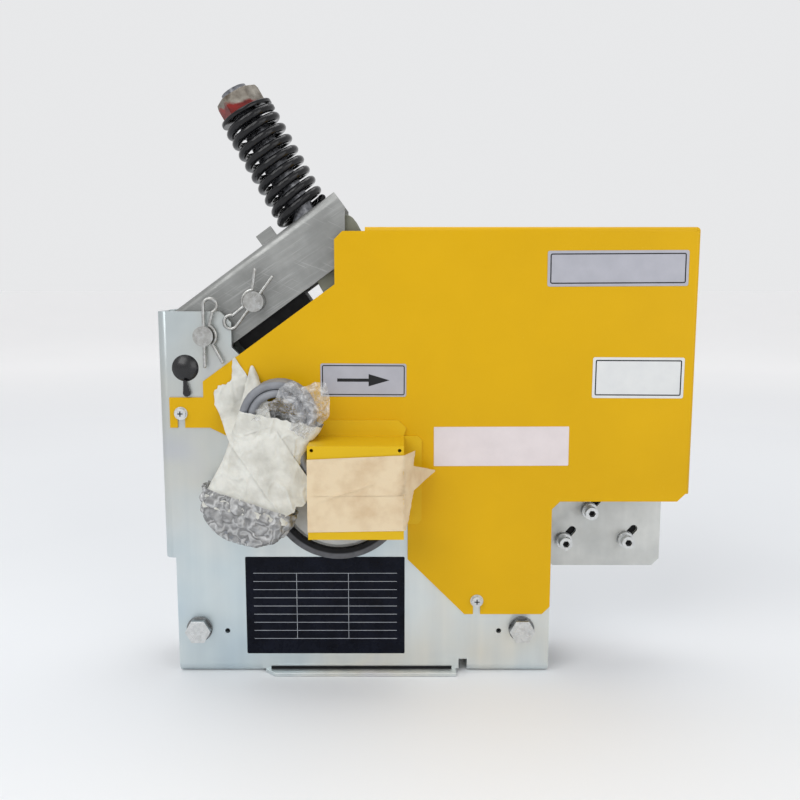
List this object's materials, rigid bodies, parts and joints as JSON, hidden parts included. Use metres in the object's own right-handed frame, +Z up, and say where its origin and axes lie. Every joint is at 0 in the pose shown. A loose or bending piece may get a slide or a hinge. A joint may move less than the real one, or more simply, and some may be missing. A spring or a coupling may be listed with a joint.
{
  "type": "elevator overspeed governor",
  "caption": "Lift overspeed governor with a rope sheave between folded plates, flyweights, ratchet trip, spring-loaded clamp arm, folded cover and a cabled encoder.",
  "frame": {"origin": "middle of the base bolt pattern, on the floor", "axes": "+X to the right along the base, +Y from the front plate to the rear plate, +Z up"},
  "size_m": [0.4005, 0.1161, 0.4496],
  "materials": {
    "plate_zinc": "zinc plated, pale blue with a light iridescence",
    "steel": "turned and plated, satin",
    "arm_zinc": "zinc plated, matt grey",
    "yoke_zinc": "plated, dull olive grey",
    "yellow": "satin yellow paint",
    "cast": "machined casting, pale grey paint",
    "sheave_iron": "machined casting",
    "spring_black": "gloss black",
    "shoe_black": "matt black",
    "rubber": "matt",
    "black_plastic": "matt",
    "cable_grey": "satin grey jacket"
  },
  "bodies": {
    "frame": {"front_plate": "plate_zinc", "rear_plate": "plate_zinc", "base_plate": "plate_zinc", "frame_bolts": "steel", "frame_nuts": "steel", "frame_spacers": "steel", "front_housing": "cast", "rear_housing": "cast", "front_bearing": "steel", "rear_bearing": "steel", "edge_trim": "rubber", "main_cover": "yellow", "cover_screws": "steel", "encoder_guard": "yellow", "encoder": "black_plastic", "encoder_stay": "steel", "cable_gland": "black_plastic", "cable_lead": "cable_grey", "cable_hank": "cable_grey", "cable_connector": "black_plastic", "rubber_plug": "rubber", "pivot_pin": "steel", "pivot_clip": "steel", "switch_bracket": "arm_zinc", "bracket_screws": "steel", "switch_body": "black_plastic"},
    "rotor": {"sheave": "sheave_iron", "shaft": "steel", "weight_pins": "steel"},
    "flyweight_a": {"flyweight_a": "sheave_iron"},
    "flyweight_b": {"flyweight_b": "sheave_iron"},
    "weight_link": {"weight_link": "steel"},
    "pawl": {"pawl": "steel"},
    "trip": {"ratchet_wheel": "steel", "trip_plate": "steel", "yoke_pin": "steel"},
    "puller": {"pull_yoke": "yoke_zinc", "pull_rod": "steel", "rod_nuts": "steel", "spring_seat": "steel", "clamp_spring": "spring_black"},
    "arm": {"clamp_arm": "arm_zinc", "shoe_pin": "steel", "shoe_clip": "steel"},
    "shoe": {"rope_shoe": "shoe_black"},
    "lever": {"switch_lever": "steel"}
  },
  "joints": [
    {"name": "sheave_spin", "type": "hinge", "parent": "frame", "child": "rotor", "pos_m": [-0.016, 0, 0.1455], "axis": [0, 1, 0], "continuous": true},
    {"name": "flyweight_a_swing", "type": "hinge", "parent": "rotor", "child": "flyweight_a", "pos_m": [0.04, 0, 0.1455], "axis": [0, 1, 0], "range_deg": [0, 5]},
    {"name": "flyweight_b_swing", "type": "hinge", "parent": "rotor", "child": "flyweight_b", "pos_m": [-0.072, 0, 0.1455], "axis": [0, 1, 0], "range_deg": [0, 5]},
    {"name": "weight_link_turn", "type": "hinge", "parent": "flyweight_a", "child": "weight_link", "pos_m": [0.04, 0, 0.1835], "axis": [0, 1, 0], "range_deg": [-5, 0]},
    {"name": "pawl_swing", "type": "hinge", "parent": "rotor", "child": "pawl", "pos_m": [-0.03857, 0, 0.08348], "axis": [0, 1, 0], "range_deg": [-16, 0]},
    {"name": "arm_swing", "type": "hinge", "parent": "frame", "child": "arm", "pos_m": [-0.114, 0, 0.2635], "axis": [0, 1, 0], "range_deg": [0, 7]},
    {"name": "trip_turn", "type": "hinge", "parent": "frame", "child": "trip", "pos_m": [-0.016, 0, 0.1455], "axis": [0, 1, 0], "range_deg": [0, 9.6]},
    {"name": "puller_turn", "type": "hinge", "parent": "trip", "child": "puller", "pos_m": [0.05283, 0, 0.18428], "axis": [0, 1, 0], "range_deg": [-8.1, 0]},
    {"name": "shoe_turn", "type": "hinge", "parent": "arm", "child": "shoe", "pos_m": [-0.07677, 0, 0.28882], "axis": [0, 1, 0], "range_deg": [-7.1, 0]},
    {"name": "lever_swing", "type": "hinge", "parent": "frame", "child": "lever", "pos_m": [0.17, 0, 0.206], "axis": [0, 1, 0], "range_deg": [-25, 0]}
  ],
  "couplings": [
    {"joint": "flyweight_b_swing", "follows": "flyweight_a_swing", "ratio": 1},
    {"joint": "weight_link_turn", "follows": "flyweight_a_swing", "ratio": -1},
    {"joint": "pawl_swing", "follows": "flyweight_a_swing", "ratio": -3},
    {"joint": "trip_turn", "follows": "arm_swing", "ratio": 1.3475},
    {"joint": "puller_turn", "follows": "arm_swing", "ratio": -1.1318},
    {"joint": "shoe_turn", "follows": "arm_swing", "ratio": -1}
  ]
}
